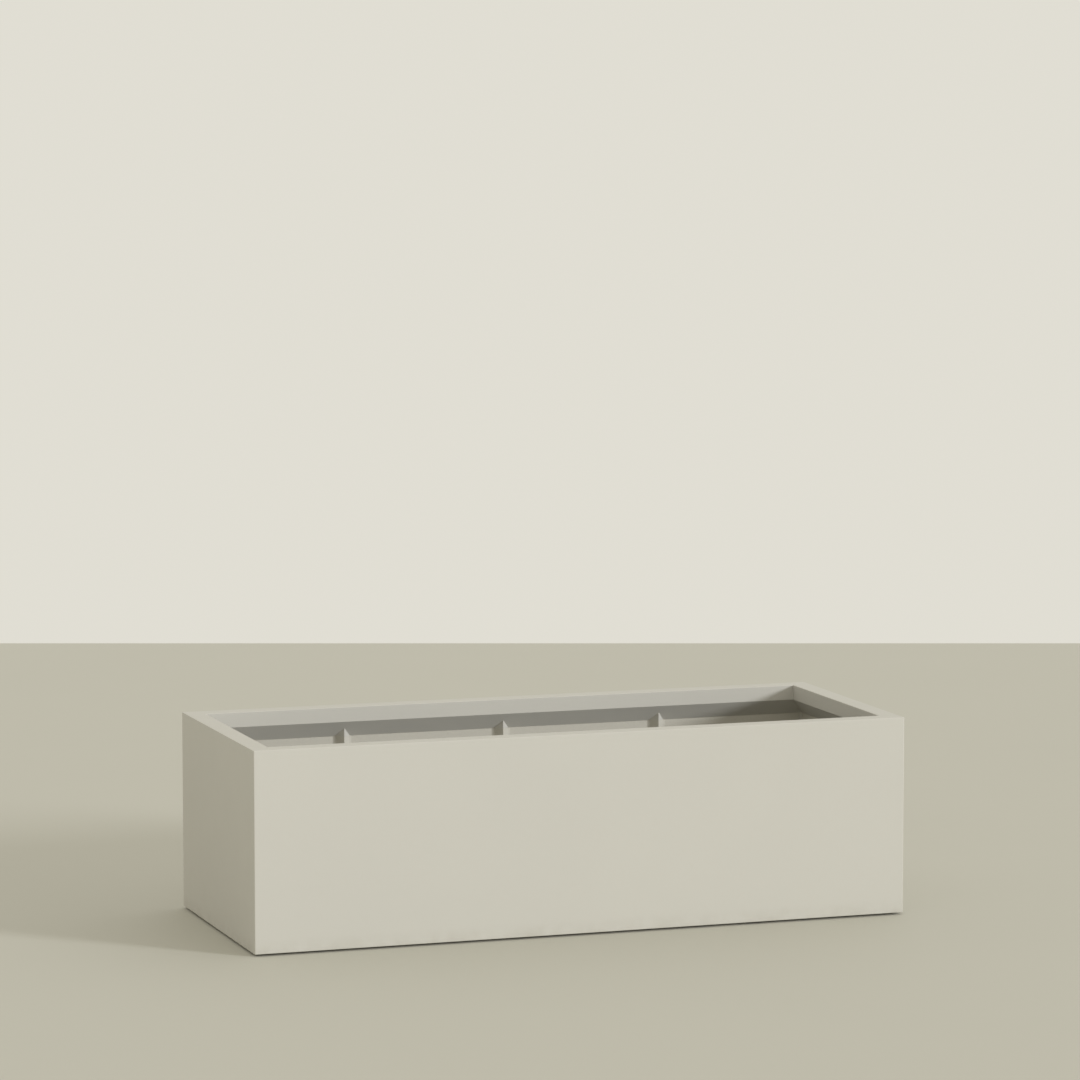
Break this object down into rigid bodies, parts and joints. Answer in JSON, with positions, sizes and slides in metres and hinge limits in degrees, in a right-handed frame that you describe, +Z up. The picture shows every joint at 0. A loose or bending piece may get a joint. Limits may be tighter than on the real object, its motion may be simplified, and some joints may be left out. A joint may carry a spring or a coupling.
{
  "type": "self watering trough planter",
  "caption": "Long rectangular planter with a boxed rim and ribbed walls, holding a lift-out water tank, perforated decks, wick baskets, a capped fill tube and a float gauge.",
  "frame": {"origin": "centre of the footprint, on the surface the planter stands on", "axes": "+X along the trough's length, +Y to its back (the fill tube and the gauge stand along the front wall, at -Y), +Z up"},
  "size_m": [1.2, 0.478, 0.356],
  "materials": {
    "gelcoat": "warm putty gel-coat, satin-matte, on glass-reinforced plastic",
    "foam_core": "closed-cell foam, matte",
    "foot_rubber": "matte",
    "tank_plastic": "extruded plastic sheet, welded, dull",
    "deck_plastic": "moulded recycled plastic, fine texture",
    "basket_plastic": "moulded recycled plastic, dull",
    "pipe_plastic": "extruded grey pipe, satin",
    "fitting_plastic": "moulded, satin",
    "seal_rubber": "matte",
    "pin_steel": "drawn stainless rod",
    "clear_plastic": "clear moulded plastic",
    "float_plastic": "moulded, satin",
    "marker_plastic": "moulded, glossy red"
  },
  "bodies": {
    "planter": {"base_panel": "gelcoat", "foot_strip_back": "foot_rubber", "foot_strip_front": "foot_rubber", "rib_core_back_centre": "foam_core", "rib_core_back_left": "foam_core", "rib_core_back_right": "foam_core", "rib_core_front_centre": "foam_core", "rib_core_front_left": "foam_core", "rib_core_front_right": "foam_core", "rim_back": "gelcoat", "rim_core_back": "foam_core", "rim_core_front": "foam_core", "rim_core_left": "foam_core", "rim_core_right": "foam_core", "rim_front": "gelcoat", "rim_left": "gelcoat", "rim_return_back": "gelcoat", "rim_return_front": "gelcoat", "rim_return_left": "gelcoat", "rim_return_right": "gelcoat", "rim_right": "gelcoat", "wall_back": "gelcoat", "wall_front": "gelcoat", "wall_left": "gelcoat", "wall_rib_back_centre": "gelcoat", "wall_rib_back_left": "gelcoat", "wall_rib_back_right": "gelcoat", "wall_rib_front_centre": "gelcoat", "wall_rib_front_left": "gelcoat", "wall_rib_front_right": "gelcoat", "wall_right": "gelcoat"},
    "tank": {"deck_post_1": "deck_plastic", "deck_post_2": "deck_plastic", "deck_post_3": "deck_plastic", "deck_post_4": "deck_plastic", "overflow_grommet": "seal_rubber", "overflow_standpipe": "pipe_plastic", "tank_base": "tank_plastic", "tank_side_back": "tank_plastic", "tank_side_front": "tank_plastic", "tank_side_left": "tank_plastic", "tank_side_right": "tank_plastic"},
    "deck_left": {"deck_panel_left": "deck_plastic", "fill_cap_pin": "pin_steel", "fill_cap_ring": "fitting_plastic", "fill_collar": "fitting_plastic", "fill_tube": "pipe_plastic"},
    "fill_lid": {"fill_cap_lid": "fitting_plastic"},
    "deck_right": {"deck_panel_right": "deck_plastic", "gauge_collar": "fitting_plastic", "gauge_guide": "pipe_plastic", "gauge_sight_cap": "clear_plastic", "gauge_tube": "pipe_plastic"},
    "level_float": {"gauge_float": "float_plastic", "gauge_marker": "marker_plastic", "gauge_rod": "float_plastic"},
    "basket_1": {"wick_basket_1": "basket_plastic"},
    "basket_2": {"wick_basket_2": "basket_plastic"},
    "basket_3": {"wick_basket_3": "basket_plastic"},
    "basket_4": {"wick_basket_4": "basket_plastic"}
  },
  "joints": [
    {"name": "tank_lift", "type": "slide", "parent": "planter", "child": "tank", "axis": [0, 0, 1], "range_m": [0, 0.36]},
    {"name": "deck_left_lift", "type": "slide", "parent": "tank", "child": "deck_left", "axis": [0, 0, 1], "range_m": [0, 0.34]},
    {"name": "deck_right_lift", "type": "slide", "parent": "tank", "child": "deck_right", "axis": [0, 0, 1], "range_m": [0, 0.34]},
    {"name": "basket_1_lift", "type": "slide", "parent": "deck_left", "child": "basket_1", "axis": [0, 0, 1], "range_m": [0, 0.34]},
    {"name": "basket_2_lift", "type": "slide", "parent": "deck_left", "child": "basket_2", "axis": [0, 0, 1], "range_m": [0, 0.34]},
    {"name": "basket_3_lift", "type": "slide", "parent": "deck_right", "child": "basket_3", "axis": [0, 0, 1], "range_m": [0, 0.34]},
    {"name": "basket_4_lift", "type": "slide", "parent": "deck_right", "child": "basket_4", "axis": [0, 0, 1], "range_m": [0, 0.34]},
    {"name": "fill_lid_hinge", "type": "hinge", "parent": "deck_left", "child": "fill_lid", "pos_m": [-0.516, -0.121, 0.3263], "axis": [-1, 0, 0], "range_deg": [0, 110]},
    {"name": "float_rise", "type": "slide", "parent": "deck_right", "child": "level_float", "axis": [0, 0, 1], "range_m": [0, 0.04]}
  ]
}
